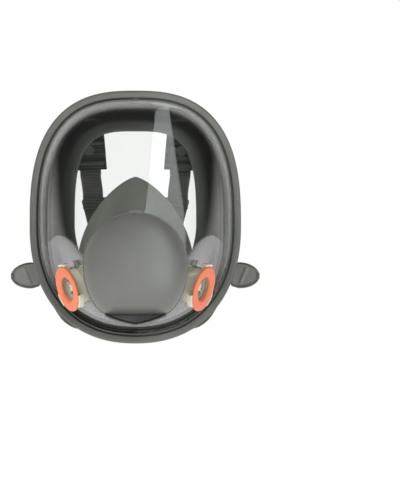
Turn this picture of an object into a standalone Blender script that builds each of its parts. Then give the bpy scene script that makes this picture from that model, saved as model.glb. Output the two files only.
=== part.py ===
"""Full face respirator: a sub-part per object, in metres, +Z up, lens facing -Y, wearer at +Y.

Left and right are as seen from the front: left is -X. All driving sizes below are millimetres.
"""

import math

import bmesh
import bpy
import numpy as np
from mathutils import Matrix, Vector

MM = 0.001
GAP = 0.35  # clearance left between neighbouring sub-parts

# Lens frame outline, seen from the front
HALF_WIDTH = 98.0
UP_REACH = 122.5  # from the widest line to the top
DOWN_REACH = 106.5  # from the widest line to the bottom
WIDEST_Z = -8.0
UP_SQUARENESS = 2.7
DOWN_SQUARENESS = 2.25
SIDE_Y = -5.0
TOP_FORWARD = 40.0  # how far the middle of the brow stands in front of the sides
CHIN_FORWARD = 45.0

# Frame channel section
BAND = 9.0
FRAME_FRONT = -6.0
FRAME_BACK = 8.0
LIP = 2.0
WEB = 2.5
LUG = 8.0
SCREW_RADIUS = 1.6

# Lens
LENS_WALL = 2.2
HOLE_RADIUS = 40.0
HOLE_Y = -88.0
CENTER_Z = -43.0
LENS_FULLNESS = 1.75

# Filter ports: the gasket face stands this far out from the barrel, and the outward direction, on the +X side
PORT_RADIUS = 17.5
PORT_CLEAR = 5.3
PORT_Y = -66.0
PORT_Z = -65.0
PORT_AXIS = (0.86, -0.44, -0.26)
PORT_BORE = 14.0
PORT_BACK = 10.0  # lens flat this far behind the gasket face
GASKET_LAND = 3.2  # gasket beyond the port wall
GASKET_BORE = 10.5  # the hole through the gasket
LUG_REACH = 5.7  # lugs beyond the port wall

# Centre adapter and its cover
COVER_HALF_WIDTH = 43.5
COVER_UP = 46.5
COVER_DOWN = 54.5
COVER_CUT = 44.0  # flat lower edge, below the centre
COVER_BACK_Y = -99.0
COVER_DEPTH = 23.0
COVER_WALL = 2.0
SLOT_HALF = 23.0  # exhaust slot in the cover's lower edge
SLOT_RISE = 9.0
ADAPTER_MARGIN = 2.6
BARREL_RADIUS = 39.2
BARREL_BORE = 30.0

# Nose cup lip
CUP_HALF_WIDTH = 54.5
CUP_UP = 87.0
CUP_DOWN = 32.0
CUP_Z = -50.0
CUP_WALL = 2.0

# Face opening of the seal
OPEN_HALF_WIDTH = 57.0
OPEN_UP = 87.0
OPEN_DOWN = 79.0
SEAL_WALL = 2.6
SEAL_DEPTH = 18.0

# Head harness
PAD_WIDTH = 32.0
PAD_X = 43.0
PAD_ANGLE = math.radians(63.0)
STRAP_WIDTH = 19.5
STRAP_THICK = 2.6
CRADLE_HALF = 52.0
CRADLE_TOP = 19.0
CRADLE_LENGTH = 126.0
PADDLE_LENGTH = 26.0
PADDLE_WIDTH = 24.5
BUCKLE_HALF = 14.0

RIM_STEPS = 32


def clear_scene():
    for each in list(bpy.data.objects):
        bpy.data.objects.remove(each)


def material(name, color, rough=0.5, transmission=0.0):
    made = bpy.data.materials.new(name)
    made.use_nodes = True
    shader = made.node_tree.nodes["Principled BSDF"]
    shader.inputs["Base Color"].default_value = (*color, 1.0)
    shader.inputs["Roughness"].default_value = rough
    shader.inputs["Transmission Weight"].default_value = transmission
    return made


def add(name, points, faces, color=(0.1, 0.1, 0.1), rough=0.5, origin=(0, 0, 0), see=0.0):
    """An object from points in world millimetres, with its own origin."""
    shift = np.asarray(origin, float)
    mesh = bpy.data.meshes.new(name)
    local = (np.asarray(points, float) - shift) * MM
    mesh.from_pydata([tuple(p) for p in local], [], [tuple(f) for f in faces])
    work = bmesh.new()
    work.from_mesh(mesh)
    bmesh.ops.triangulate(work, faces=work.faces[:], ngon_method="EAR_CLIP")
    bmesh.ops.recalc_face_normals(work, faces=work.faces[:])
    work.to_mesh(mesh)
    work.free()
    made = bpy.data.objects.new(name, mesh)
    made.location = Vector(shift * MM)
    bpy.context.scene.collection.objects.link(made)
    mesh.materials.append(material(name, color, rough, see))
    return made


def finish(made, angle=35.0):
    for polygon in made.data.polygons:
        polygon.use_smooth = True
    made.data.set_sharp_from_angle(angle=math.radians(angle))
    return made


def boolean(target, tool, operation):
    bpy.context.view_layer.update()
    change = target.modifiers.new("change", "BOOLEAN")
    change.operation = operation
    change.solver = "EXACT"
    change.object = tool
    graph = bpy.context.evaluated_depsgraph_get()
    mesh = bpy.data.meshes.new_from_object(target.evaluated_get(graph))
    target.modifiers.clear()
    target.data = mesh
    bpy.data.objects.remove(tool)
    return target


def loft_faces(rings, count, closed):
    faces = []
    last = rings if closed else rings - 1
    for i in range(last):
        a = i * count
        b = ((i + 1) % rings) * count
        for j in range(count):
            k = (j + 1) % count
            faces.append((a + j, a + k, b + k, b + j))
    if not closed:
        faces.append(tuple(range(count))[::-1])
        faces.append(tuple(range((rings - 1) * count, rings * count)))
    return faces


def loft(name, rings, closed=False, **look):
    """A solid through rings of points, each with the same number of points."""
    count = len(rings[0])
    points = [p for ring in rings for p in ring]
    return add(name, points, loft_faces(len(rings), count, closed), **look)


def unit(v):
    v = np.asarray(v, float)
    return v / np.linalg.norm(v)


def basis_for(axis, toward=(0.0, 0.0, 1.0)):
    """Columns: sideways, up (as near toward as it can be), axis."""
    w = unit(axis)
    t = np.asarray(toward, float)
    if abs(np.dot(w, t)) > 0.95:
        t = np.array([0.0, 1.0, 0.0])
    v = unit(t - w * np.dot(t, w))
    u = np.cross(v, w)
    return u, v, w


def disc_ring(name, profile, at, axis, steps=22, **look):
    """A closed profile of (radius, height) turned about an axis."""
    u, v, w = basis_for(axis)
    at = np.asarray(at, float)
    rings = []
    for i in range(steps):
        a = 2 * math.pi * i / steps
        out = u * math.cos(a) + v * math.sin(a)
        rings.append([at + out * r + w * h for r, h in profile])
    return loft(name, rings, closed=True, **look)


def rod(name, profile, at, axis, steps=20, **look):
    """Circles of (radius, height) stacked along an axis, closed by flat ends."""
    u, v, w = basis_for(axis)
    at = np.asarray(at, float)
    rings = []
    for r, h in profile:
        ring = []
        for i in range(steps):
            a = 2 * math.pi * i / steps
            ring.append(at + (u * math.cos(a) + v * math.sin(a)) * r + w * h)
        rings.append(ring)
    return loft(name, rings, **look)


def box(name, low, high, at=(0, 0, 0), axes=None, **look):
    """A box given in local axes (u, v, w) about a point."""
    u, v, w = axes if axes is not None else np.eye(3)
    at = np.asarray(at, float)
    rings = []
    for h in (low[2], high[2]):
        corners = ((low[0], low[1]), (high[0], low[1]), (high[0], high[1]), (low[0], high[1]))
        rings.append([at + u * a + v * b + w * h for a, b in corners])
    return loft(name, rings, **look)


# ---------------------------------------------------------------- outline of the frame


def outline(phi):
    """Point on the frame outline (x, z) at the polar angle phi about the widest line's middle."""
    c, s = math.cos(phi), math.sin(phi)
    reach = UP_REACH if s >= 0 else DOWN_REACH
    n = UP_SQUARENESS if s >= 0 else DOWN_SQUARENESS
    r = (abs(c / HALF_WIDTH) ** n + abs(s / reach) ** n) ** (-1.0 / n)
    return np.array([r * c, WIDEST_Z + r * s])


def outline_normal(phi):
    d = 0.01
    t = outline(phi + d) - outline(phi - d)
    return unit(np.array([t[1], -t[0]]))


def rim_y(phi):
    x, z = outline(phi)
    forward = TOP_FORWARD if z >= WIDEST_Z else CHIN_FORWARD
    return SIDE_Y - forward * (1.0 - (x / HALF_WIDTH) ** 2)


def at_rim(phi, inset, back):
    x, z = outline(phi) - outline_normal(phi) * inset
    return np.array([x, rim_y(phi) + back, z])


def angles(start=0.0, stop=360.0, steps=RIM_STEPS):
    return [math.radians(start + (stop - start) * i / steps) for i in range(steps + 1)]


# ---------------------------------------------------------------- curved shells


def port_frame(side):
    at = np.array([side * (BARREL_RADIUS + PORT_CLEAR + PORT_RADIUS), PORT_Y, PORT_Z])
    return at, unit(np.array(PORT_AXIS) * (side, 1, 1))


def soft_over(s, width):
    """Smooth version of max(s, 0)."""
    return 0.5 * (s + math.sqrt(s * s + width * width))


def lens_point(phi, v, depth=0.0):
    """A point of the lens: v runs from the frame (0) to the centre hole (1)."""
    start = at_rim(phi, BAND + 0.5, -3.7)
    hole = np.array([math.cos(phi), math.sin(phi)]) * HOLE_RADIUS
    end = np.array([hole[0], HOLE_Y, CENTER_Z + hole[1]])
    g = 1.0 - (1.0 - v) ** LENS_FULLNESS
    p = start + (end - start) * v
    p[1] = start[1] + (end[1] - start[1]) * g
    for side in (-1, 1):
        at, axis = port_frame(side)
        over = np.dot(p - at, axis) + PORT_BACK
        fade = min(1.0, v * 3.0) * min(1.0, (1.0 - v) * 6.0 + 0.0)
        p = p - axis * soft_over(over, 3.0) * fade
    return p


def lens_inner(phi, v):
    """The inside surface, one wall behind the outside."""
    d = 0.02
    va, vb = max(0.0, v - d), min(1.0, v + d)
    dv = lens_point(phi, vb) - lens_point(phi, va)
    dp = lens_point(phi + d, v) - lens_point(phi - d, v)
    n = unit(np.cross(dv, dp))
    if n[1] < 0:
        n = -n
    return lens_point(phi, v) + n * LENS_WALL


def opening(phi):
    c, s = math.cos(phi), math.sin(phi)
    reach = OPEN_UP if s >= 0 else OPEN_DOWN
    n = 3.4 if s >= 0 else 1.75
    r = (abs(c / OPEN_HALF_WIDTH) ** n + abs(s / reach) ** n) ** (-1.0 / n)
    return np.array([r * c, WIDEST_Z + r * s])


def seal_point(phi, v, depth=0.0):
    """A point of the seal's front surface: v runs from the frame (0) to the face opening (1)."""
    start = at_rim(phi, BAND + 0.4, 2.0)
    edge = opening(phi)
    lip_y = SEAL_DEPTH - 5.0 + 0.75 * (rim_y(phi) - SIDE_Y)
    end = np.array([edge[0], lip_y, edge[1]])
    p = start + (end - start) * v**1.25
    h = 1.0 - (1.0 - v) ** 2.2
    p[1] = start[1] + (end[1] - start[1]) * h
    return p


def grid_normal(function, phi, v, toward):
    d = 0.02
    va, vb = max(0.0, v - d), min(1.0, v + d)
    dv = function(phi, vb) - function(phi, va)
    dp = function(phi + d, v) - function(phi - d, v)
    n = unit(np.cross(dv, dp))
    return n if np.dot(n, toward) > 0 else -n


def cup_lip(alpha):
    c, s = math.cos(alpha), math.sin(alpha)
    reach = CUP_UP if s >= 0 else CUP_DOWN
    power = 1.45 if s >= 0 else 0.9
    x = CUP_HALF_WIDTH * math.copysign(abs(c) ** power, c)
    z = CUP_Z + reach * s
    y = -8.0 - 20.0 * max(0.0, s) ** 1.5 - 16.0 * max(0.0, -s)
    return np.array([x, y, z])


def cup_point(alpha, v, depth=0.0):
    """A point of the nose cup's outside: v runs from the adapter (0) to the lip (1)."""
    r = BARREL_BORE + 3.5
    start = np.array([r * math.cos(alpha), -71.8, CENTER_Z + r * math.sin(alpha)])
    end = cup_lip(alpha)
    p = start + (end - start) * (v**1.15)
    p[1] = start[1] + (end[1] - start[1]) * (v**1.35)
    return p


def cover_radius(psi):
    c, s = math.cos(psi), math.sin(psi)
    reach = COVER_UP if s >= 0 else COVER_DOWN
    r = 1.0 / math.hypot(c / COVER_HALF_WIDTH, s / reach)
    if s < 0:
        flat = COVER_CUT / -s  # the flat lower edge, its corners rounded
        r = (r**-16 + flat**-16) ** (-1 / 16)
    return r


def cover_point(psi, t, inset=0.0):
    """A point of the cover: t runs from its middle (0) to its edge (1)."""
    r = max(0.0, cover_radius(psi) - inset) * t
    y = COVER_BACK_Y - (COVER_DEPTH - inset) * (1.0 - t**2.6) ** 0.62
    return np.array([r * math.cos(psi), y, CENTER_Z + r * math.sin(psi)])


# ---------------------------------------------------------------- frame, lens and seal


def make_frame():
    section = (
        (1.0, FRAME_FRONT),
        (BAND, FRAME_FRONT + 0.6),
        (BAND, FRAME_FRONT + LIP),
        (WEB, FRAME_FRONT + LIP),
        (WEB, FRAME_BACK - LIP),
        (BAND - 1.5, FRAME_BACK - LIP),
        (BAND - 1.5, FRAME_BACK),
        (0.8, FRAME_BACK),
        (0.0, FRAME_BACK - 1.0),
        (0.0, FRAME_FRONT + 1.2),
    )
    dark = (0.09, 0.09, 0.085)
    gap = 0.25
    for name, start, stop in (("lens_frame_upper", gap, 180 - gap), ("lens_frame_lower", 180 + gap, 360 - gap)):
        rings = [[at_rim(p, i, b) for i, b in section] for p in angles(start, stop, RIM_STEPS // 2)]
        half = loft(name, rings, color=dark)
        up = 1 if start < 90 else -1
        for side in (-1, 1):
            x = side * (HALF_WIDTH - LUG / 2)
            y = SIDE_Y + FRAME_BACK - 1.0
            low = (x - LUG / 2, y, min(WIDEST_Z + up * 0.43, WIDEST_Z + up * 6.5))
            high = (x + LUG / 2, y + 9.0, max(WIDEST_Z + up * 0.43, WIDEST_Z + up * 6.5))
            boolean(half, box("tool", low, high), "UNION")
            bore = rod("tool", ((SCREW_RADIUS + GAP, -9), (SCREW_RADIUS + GAP, 9)), lug_axis(side), (0, 0, 1), 16)
            boolean(half, bore, "DIFFERENCE")
        finish(half)


def lug_axis(side):
    return np.array([side * (HALF_WIDTH - LUG / 2), SIDE_Y + FRAME_BACK + 4.2, WIDEST_Z])


def make_frame_screws():
    for side, word in ((-1, "left"), (1, "right")):
        at = lug_axis(side)
        shank = SCREW_RADIUS
        profile = ((2.2, -9.6), (2.9, -9.2), (2.9, -6.5 - GAP), (shank, -6.5 - GAP), (shank, 10.2), (shank - 0.3, 10.6))
        screw = rod(f"frame_screw_{word}", profile, at, (0, 0, 1), 16, color=(0.6, 0.6, 0.62), rough=0.3)
        slot = box("tool", (-0.4, -4, -11), (0.4, 4, -8.7), at)
        finish(boolean(screw, slot, "DIFFERENCE"))
        nut = disc_ring(
            f"frame_nut_{word}",
            ((shank + GAP, 6.5 + GAP), (3.1, 6.5 + GAP), (3.1, 9.2), (shank + GAP, 9.2)),
            at,
            (0, 0, 1),
            6,
            color=(0.6, 0.6, 0.62),
            rough=0.3,
        )
        finish(nut)


def make_lens():
    stops = (0.0, 0.1, 0.26, 0.44, 0.62, 0.82, 1.0)
    rings = []
    for phi in angles()[:-1]:
        outer = [lens_point(phi, v) for v in stops]
        inner = [lens_inner(phi, v) for v in stops]
        flange = [
            at_rim(phi, BAND + 2.2, -1.5),
            at_rim(phi, WEB + GAP, -1.5),
            at_rim(phi, WEB + GAP, FRAME_FRONT + LIP + GAP),
        ]
        rings.append(outer + inner[:0:-1] + flange)
    lens = loft("lens", rings, closed=True, color=(0.8, 0.85, 0.84), rough=0.05, see=0.9)
    for side in (-1, 1):
        at, axis = port_frame(side)
        cut = rod("tool", ((PORT_RADIUS + GAP * 1.4, -34), (PORT_RADIUS + GAP * 1.4, 20)), at, axis, 24)
        boolean(lens, cut, "DIFFERENCE")
    finish(lens)


def plate_along(name, path, across, width, thick, wide_at=None, **look):
    """A flat strip swept through a path; across is the direction of its width."""
    rings = []
    count = len(path)
    for i, p in enumerate(path):
        t = unit(path[min(i + 1, count - 1)] - path[max(i - 1, 0)])
        a = np.asarray(across, float)
        a = unit(a - t * np.dot(a, t))
        n = np.cross(t, a)
        w = (width if wide_at is None else wide_at[i]) / 2
        h = thick / 2
        rings.append([p - a * w - n * h, p + a * w - n * h, p + a * w + n * h, p - a * w + n * h])
    return loft(name, rings, **look)


def curve_through(points, steps):
    """A smooth curve through the points, with steps spans in all."""
    p = [np.asarray(q, float) for q in points]
    p = [2 * p[0] - p[1]] + p + [2 * p[-1] - p[-2]]
    spans = len(p) - 3
    out = []
    for k in range(steps + 1):
        s = k * spans / steps
        i = min(int(s), spans - 1)
        t = s - i
        a, b, c, d = p[i : i + 4]
        out.append(
            0.5 * (2 * b + (c - a) * t + (2 * a - 5 * b + 4 * c - d) * t * t + (3 * b - a - 3 * c + d) * t**3)
        )
    return out


def pad_path(side, steps=8):
    """The pad leaves the seal's upper corner and bends down behind the face opening."""
    root = seal_point(PAD_ANGLE, 0.3) + np.array([0.0, -1.0, 0.0])
    root[0] = PAD_X + 3.0
    drops = ((0, 0, 0), (0, 19, 5), (-1, 36, -3), (-2, 46, -21), (-3, 50, -45))
    return curve_through([(root + d) * (side, 1, 1) for d in drops], steps)


def tab_path(side, steps=4):
    spots = ((57, 6.5, -45), (66, 10, -48), (74, 12, -51), (82, 12.5, -53))
    return curve_through([np.array(s) * (side, 1, 1) for s in spots], steps)


def make_seal():
    stops = (0.0, 0.15, 0.35, 0.58, 0.82, 1.0)
    rings = []
    for phi in angles()[:-1]:
        front = [seal_point(phi, v) for v in stops]
        back = [seal_point(phi, v) + grid_normal(seal_point, phi, v, (0, 1, 0)) * SEAL_WALL for v in stops]
        bead = [
            at_rim(phi, BAND + 0.4, FRAME_BACK - LIP - GAP + 1.0),
            at_rim(phi, BAND - 0.2, FRAME_BACK - LIP - GAP),
            at_rim(phi, WEB + GAP, FRAME_BACK - LIP - GAP),
            at_rim(phi, WEB + GAP, -1.5 + GAP),
            at_rim(phi, BAND, -1.5 + GAP),
        ]
        rings.append(front + back[:0:-1] + bead)
    seal = loft("face_seal", rings, closed=True, color=(0.05, 0.05, 0.05), rough=0.7)
    for side in (-1, 1):
        path = pad_path(side)
        widths = [PAD_WIDTH * (0.8 + 0.2 * i / (len(path) - 1)) for i in range(len(path))]
        boolean(seal, plate_along("tool", path, (1, 0, 0), PAD_WIDTH, 3.2, widths), "UNION")
        boolean(seal, plate_along("tool", tab_path(side), (0, 0, 1), 22, 3.2), "UNION")
        for at, axis in (upper_stud(side), lower_stud(side)):
            bore = rod("tool", ((2.4 + GAP, -6), (2.4 + GAP, 6)), at, axis, 16)
            boolean(seal, bore, "DIFFERENCE")
    finish(seal)


# ---------------------------------------------------------------- ports and valves


def make_port(side, word):
    at, axis = port_frame(side)
    u, v, w = basis_for(axis)
    tube = disc_ring(
        f"bayonet_port_{word}",
        ((PORT_BORE, -20), (PORT_RADIUS, -20), (PORT_RADIUS, -2.4), (PORT_BORE, -2.4)),
        at,
        axis,
        color=(0.72, 0.7, 0.58),
        rough=0.2,
    )
    for k in range(3):
        rings = []
        for i in range(5):
            a = math.radians(90 + 120 * k + (i - 2) * 8.0)
            out = u * math.cos(a) + v * math.sin(a)
            shape = (
                (PORT_RADIUS - 0.6, -5.4),
                (PORT_RADIUS + LUG_REACH, -5.4),
                (PORT_RADIUS + LUG_REACH, -0.4),
                (PORT_RADIUS + GASKET_LAND + 0.5, -0.4),
                (PORT_RADIUS + GASKET_LAND + 0.5, -2.7),
                (PORT_RADIUS - 0.6, -2.7),
            )
            rings.append([at + out * r + w * h for r, h in shape])
        boolean(tube, loft("tool", rings), "UNION")
    finish(tube)
    gasket = disc_ring(
        f"inhalation_gasket_{word}",
        ((GASKET_BORE, -2.0), (PORT_RADIUS + GASKET_LAND, -2.0), (PORT_RADIUS + GASKET_LAND, 0.0), (GASKET_BORE, 0.0)),
        at,
        axis,
        color=(0.85, 0.24, 0.09),
        rough=0.45,
    )
    finish(gasket)
    seat = disc_ring(
        f"inhalation_valve_seat_{word}",
        ((PORT_BORE - 3.0, -9), (PORT_BORE - GAP, -9), (PORT_BORE - GAP, -5.5), (PORT_BORE - 3.0, -5.5)),
        at,
        axis,
        color=(0.8, 0.78, 0.68),
        rough=0.3,
    )
    boolean(seat, rod("tool", ((3.0, -9.0), (3.0, -5.0)), at, axis, 12), "UNION")
    for k in range(3):
        a = math.radians(30 + 60 * k)
        d = u * math.cos(a) + v * math.sin(a)
        e = np.cross(w, d)
        spoke = box("tool", (-PORT_BORE + 2.0, -0.8, -8.4), (PORT_BORE - 2.0, 0.8, -6.2), at, (d, e, w))
        boolean(seat, spoke, "UNION")
    finish(seat)
    flap = rod(
        f"inhalation_valve_{word}",
        ((12.6, -10.2), (12.6, -9.4)),
        at,
        axis,
        color=(0.8, 0.75, 0.4),
        rough=0.5,
        origin=at - axis * 9.8,
    )
    finish(flap)


def cup_valve_frame(side):
    alpha = math.radians(18) if side > 0 else math.radians(162)
    v = 0.45
    p = cup_point(alpha, v)
    n = grid_normal(cup_point, alpha, v, (side, -0.4, 0))
    return p - n * CUP_WALL / 2, n


def make_nose_cup():
    stops = (0.0, 0.25, 0.5, 0.75, 1.0)
    rings = []
    steps = 28
    for i in range(steps):
        alpha = 2 * math.pi * (i + 0.5) / steps
        outer = [cup_point(alpha, v) for v in stops]
        toward = (-math.cos(alpha), 0.3, -math.sin(alpha))
        inner = [cup_point(alpha, v) + grid_normal(cup_point, alpha, v, toward) * CUP_WALL for v in stops]
        rings.append(outer + inner[::-1])
    cup = loft("nose_cup", rings, closed=True, color=(0.12, 0.12, 0.11), rough=0.55)
    for side in (-1, 1):
        at, n = cup_valve_frame(side)
        boolean(cup, rod("tool", ((8.0, -8), (8.0, 8)), at, n, 20), "DIFFERENCE")
    finish(cup)


def make_cup_valve(side, word):
    at, n = cup_valve_frame(side)
    u, v, w = basis_for(n)
    seat = disc_ring(
        f"nose_cup_valve_seat_{word}",
        ((5.4, -2.0), (8.0 - GAP, -2.0), (8.0 - GAP, 2.2), (5.4, 2.2)),
        at,
        n,
        20,
        color=(0.75, 0.4, 0.1),
        rough=0.4,
    )
    for k in range(2):
        a = math.radians(45 + 90 * k)
        d = u * math.cos(a) + v * math.sin(a)
        e = np.cross(w, d)
        boolean(seat, box("tool", (-6, -0.8, -0.2), (6, 0.8, 1.8), at, (d, e, w)), "UNION")
    finish(seat)
    flap = rod(
        f"nose_cup_valve_{word}",
        ((5.0, -1.6), (5.0, -0.7)),
        at,
        n,
        20,
        color=(0.8, 0.75, 0.4),
        origin=at - n * 1.2,
    )
    finish(flap)


# ---------------------------------------------------------------- centre adapter


def make_adapter():
    steps = 28
    rings = []
    for i in range(steps):
        psi = 2 * math.pi * (i + 0.5) / steps
        c, s = math.cos(psi), math.sin(psi)
        wide = math.hypot(c * (COVER_HALF_WIDTH + ADAPTER_MARGIN), s * (COVER_UP + ADAPTER_MARGIN))
        lip = cover_radius(psi) + ADAPTER_MARGIN
        if s < 0:
            lip = min(1.0 / math.hypot(c / (COVER_HALF_WIDTH + 2.6), s / (COVER_DOWN + 4.0)), (COVER_CUT + 9.0) / -s)
        wide = lip
        profile = (
            (BARREL_BORE, -72.5),
            (BARREL_RADIUS, -72.5),
            (BARREL_RADIUS, HOLE_Y - 1.2),
            (wide, HOLE_Y - 2.2),
            (wide, COVER_BACK_Y + 2.0),
            (wide - 3.0, COVER_BACK_Y + GAP),
            (BARREL_BORE + 4.0, COVER_BACK_Y + GAP),
            (BARREL_BORE + 4.0, -94.0),
            (BARREL_BORE, -93.0),
        )
        rings.append([np.array([c * r, y, CENTER_Z + s * r]) for r, y in profile])
    finish(loft("center_adapter", rings, closed=True, color=(0.07, 0.07, 0.065)))
    at = (0, 0, CENTER_Z)
    ring = ((BARREL_RADIUS + 0.4, 74.5), (BARREL_RADIUS + 4.5, 74.5), (BARREL_RADIUS + 4.5, 78.5), (BARREL_RADIUS + 0.4, 78.5))
    finish(disc_ring("adapter_lock_ring", ring, at, (0, -1, 0), 32, color=(0.2, 0.2, 0.2)))


def make_exhalation_valve():
    at = np.array([0, 0, CENTER_Z])
    r = BARREL_BORE - GAP
    seat = disc_ring(
        "exhalation_valve_seat",
        ((r - 5, 88.0), (r, 88.0), (r, 92.0), (r - 5, 92.0)),
        at,
        (0, -1, 0),
        28,
        color=(0.2, 0.2, 0.2),
    )
    boolean(seat, rod("tool", ((3.5, 88.0), (3.5, 91.0)), at, (0, -1, 0), 12), "UNION")
    for k in range(3):
        a = math.radians(30 + 60 * k)
        d = np.array([math.cos(a), 0, math.sin(a)])
        e = np.array([-math.sin(a), 0, math.cos(a)])
        spoke = box("tool", (-r + 3, -1, 88.4), (r - 3, 1, 90.6), at, (d, e, np.array([0, -1, 0])))
        boolean(seat, spoke, "UNION")
    finish(seat)
    flap = rod(
        "exhalation_valve",
        ((r - 2.2, 92.4), (r - 2.2, 93.3)),
        at,
        (0, -1, 0),
        28,
        color=(0.75, 0.7, 0.4),
        origin=(0, -92.8, CENTER_Z),
    )
    finish(flap)


def make_cover():
    steps = 28
    stops = (0.14, 0.4, 0.65, 0.85, 0.95, 1.0)
    rings = []
    for t in stops:
        rings.append([cover_point(2 * math.pi * (i + 0.5) / steps, t) for i in range(steps)])
    for t in stops[::-1]:
        rings.append([cover_point(2 * math.pi * (i + 0.5) / steps, t, COVER_WALL) for i in range(steps)])
    cover = loft("exhalation_cover", rings, color=(0.14, 0.14, 0.13), origin=(0, COVER_BACK_Y, CENTER_Z))
    low = (-SLOT_HALF, COVER_BACK_Y - SLOT_RISE, CENTER_Z - COVER_CUT - 5.0)
    high = (SLOT_HALF, COVER_BACK_Y + 5.0, CENTER_Z - COVER_CUT + 5.5)
    boolean(cover, box("tool", low, high), "DIFFERENCE")
    finish(cover)


# ---------------------------------------------------------------- harness


def upper_stud(side):
    path = pad_path(side, 16)
    p = path[13]
    t = unit(path[14] - path[12])
    n = unit(np.cross(np.array([1.0, 0, 0]), t))
    n = n if n[1] > 0 else -n
    return p, n


def lower_stud(side):
    path = tab_path(side, 16)
    p = path[9]
    t = unit(path[10] - path[8])
    n = unit(np.cross(np.array([0.0, 0, 1.0]), t)) * side
    return p, n if n[1] > 0 else -n


def buckle_axes(side, upper):
    if upper:
        p, n = upper_stud(side)
        path = pad_path(side, 16)
        along = unit(path[14] - path[12])
    else:
        p, n = lower_stud(side)
        path = tab_path(side, 16)
        along = unit(path[10] - path[8])
    across = np.cross(along, n)
    return p, across, along, n


def make_buckle(side, word, upper):
    place = "upper" if upper else "lower"
    at, across, along, n = buckle_axes(side, upper)
    axes = (across, along, n)
    low = 1.6 + GAP
    stud = rod(
        f"{place}_stud_{word}",
        ((4.6, -3.4), (4.6, -2.3), (2.4, -2.3), (2.4, low + 2.4 + GAP), (4.4, low + 2.4 + GAP), (3.8, low + 3.8)),
        at,
        n,
        16,
        color=(0.55, 0.55, 0.56),
        rough=0.3,
    )
    finish(stud)
    half = BUCKLE_HALF
    plate = box(
        f"{place}_buckle_{word}", (-half, -9, low), (half, 17, low + 2.4), at, axes, color=(0.06, 0.06, 0.06), origin=at
    )
    boolean(plate, rod("tool", ((2.4 + GAP, -2), (2.4 + GAP, 9)), at, n, 16), "DIFFERENCE")
    boolean(plate, box("tool", (-half + 3, 6.2, 0), (half - 3, 13.6, 9), at, axes), "DIFFERENCE")
    for end in (-1, 1):
        cheek = box(
            "tool",
            (min(end * (half - 2.4), end * (half - 0.2)), 0.5, low + 1.6),
            (max(end * (half - 2.4), end * (half - 0.2)), 7.5, low + 8.6),
            at,
            axes,
        )
        boolean(plate, cheek, "UNION")
        pin = np.asarray(at) + along * 4.0 + n * (low + 6.2)
        pin_hole = rod("tool", ((0.9 + GAP, -half - 2), (0.9 + GAP, half + 2)), pin, across, 12)
        if end > 0:
            boolean(plate, pin_hole, "DIFFERENCE")
        else:
            bpy.data.objects.remove(pin_hole)
    finish(plate)
    pivot = np.asarray(at) + along * 4.0 + n * (low + 6.2)
    reach = half - 2.4 - GAP - 0.1
    lever = box(
        f"{place}_buckle_lever_{word}",
        (-reach, -14.5, -1.7),
        (reach, 1.5, 0.9),
        pivot,
        axes,
        color=(0.5, 0.5, 0.5),
        origin=pivot,
    )
    boolean(lever, rod("tool", ((1.9, -reach + 0.2), (1.9, reach - 0.2)), pivot, across, 14), "UNION")
    boolean(lever, rod("tool", ((0.9, -half + 0.2), (0.9, half - 0.2)), pivot, across, 12), "UNION")
    finish(lever)


def cradle_path(steps=12):
    """From the crown down the back of the head, in even steps of height."""
    shares = [k / steps for k in range(steps + 1)]
    return [np.array([0.0, 76.0 + 16.0 * (1.0 - (1.0 - s) ** 1.8), CRADLE_TOP - CRADLE_LENGTH * s]) for s in shares]


def cradle_rows():
    """Rows of (share of the length, half width, half width of the window, window open below)."""
    return (
        (0.0, 1.0, 0.52, False),
        (0.04, 1.0, 0.51, True),
        (0.10, 0.98, 0.47, True),
        (0.17, 0.93, 0.43, False),
        (0.25, 0.87, 0.40, False),
        (0.31, 0.83, 0.40, True),
        (0.50, 0.80, 0.42, True),
        (0.69, 0.81, 0.45, False),
        (0.79, 0.86, 0.12, True),
        (0.83, 0.90, 0.34, True),
        (0.92, 0.97, 0.52, True),
        (1.0, 1.03, 0.68, False),
    )


def make_cradle():
    path = cradle_path(48)
    rows = cradle_rows()
    columns = 6
    grid = []
    for share, wide, inner, _ in rows:
        k = min(int(round(share * 48)), 48)
        p = path[k]
        t = unit(path[min(k + 1, 48)] - path[max(k - 1, 0)])
        n = unit(np.cross(np.array([1.0, 0, 0]), t))
        xs = [-wide, -(wide + inner) / 2, -inner, 0.0, inner, (wide + inner) / 2, wide]
        for x in xs:
            bow = 7.0 * (x**2)
            centre = p + np.array([x * CRADLE_HALF, -bow, 0.0])
            grid.append((centre - n * STRAP_THICK / 2, centre + n * STRAP_THICK / 2))
    points = [q for pair in grid for q in pair]
    across = columns + 1

    def index(r, c, face):
        return 2 * (r * across + c) + face

    solid = {}
    for r in range(len(rows) - 1):
        for c in range(columns):
            solid[(r, c)] = not (rows[r][3] and c in (2, 3))
    faces = []
    for (r, c), kept in solid.items():
        if not kept:
            continue
        for face in (0, 1):
            quad = [index(r, c, face), index(r, c + 1, face), index(r + 1, c + 1, face), index(r + 1, c, face)]
            faces.append(quad if face else quad[::-1])
        sides = (
            ((r - 1, c), (r, c), (r, c + 1)),
            ((r + 1, c), (r + 1, c + 1), (r + 1, c)),
            ((r, c - 1), (r + 1, c), (r, c)),
            ((r, c + 1), (r, c + 1), (r + 1, c + 1)),
        )
        for other, a, b in sides:
            if not solid.get(other, False):
                faces.append([index(*a, 0), index(*b, 0), index(*b, 1), index(*a, 1)])
    used = sorted({i for f in faces for i in f})
    renumber = {old: new for new, old in enumerate(used)}
    made = add(
        "head_cradle",
        [points[i] for i in used],
        [[renumber[i] for i in f] for f in faces],
        color=(0.05, 0.05, 0.05),
        rough=0.7,
        origin=harness_pivot(),
    )
    finish(made)


def harness_pivot():
    at, across, along, n = buckle_axes(1, True)
    p = at + along * 15.3 + n * 3.4
    return np.array([0.0, p[1], p[2]])


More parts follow.
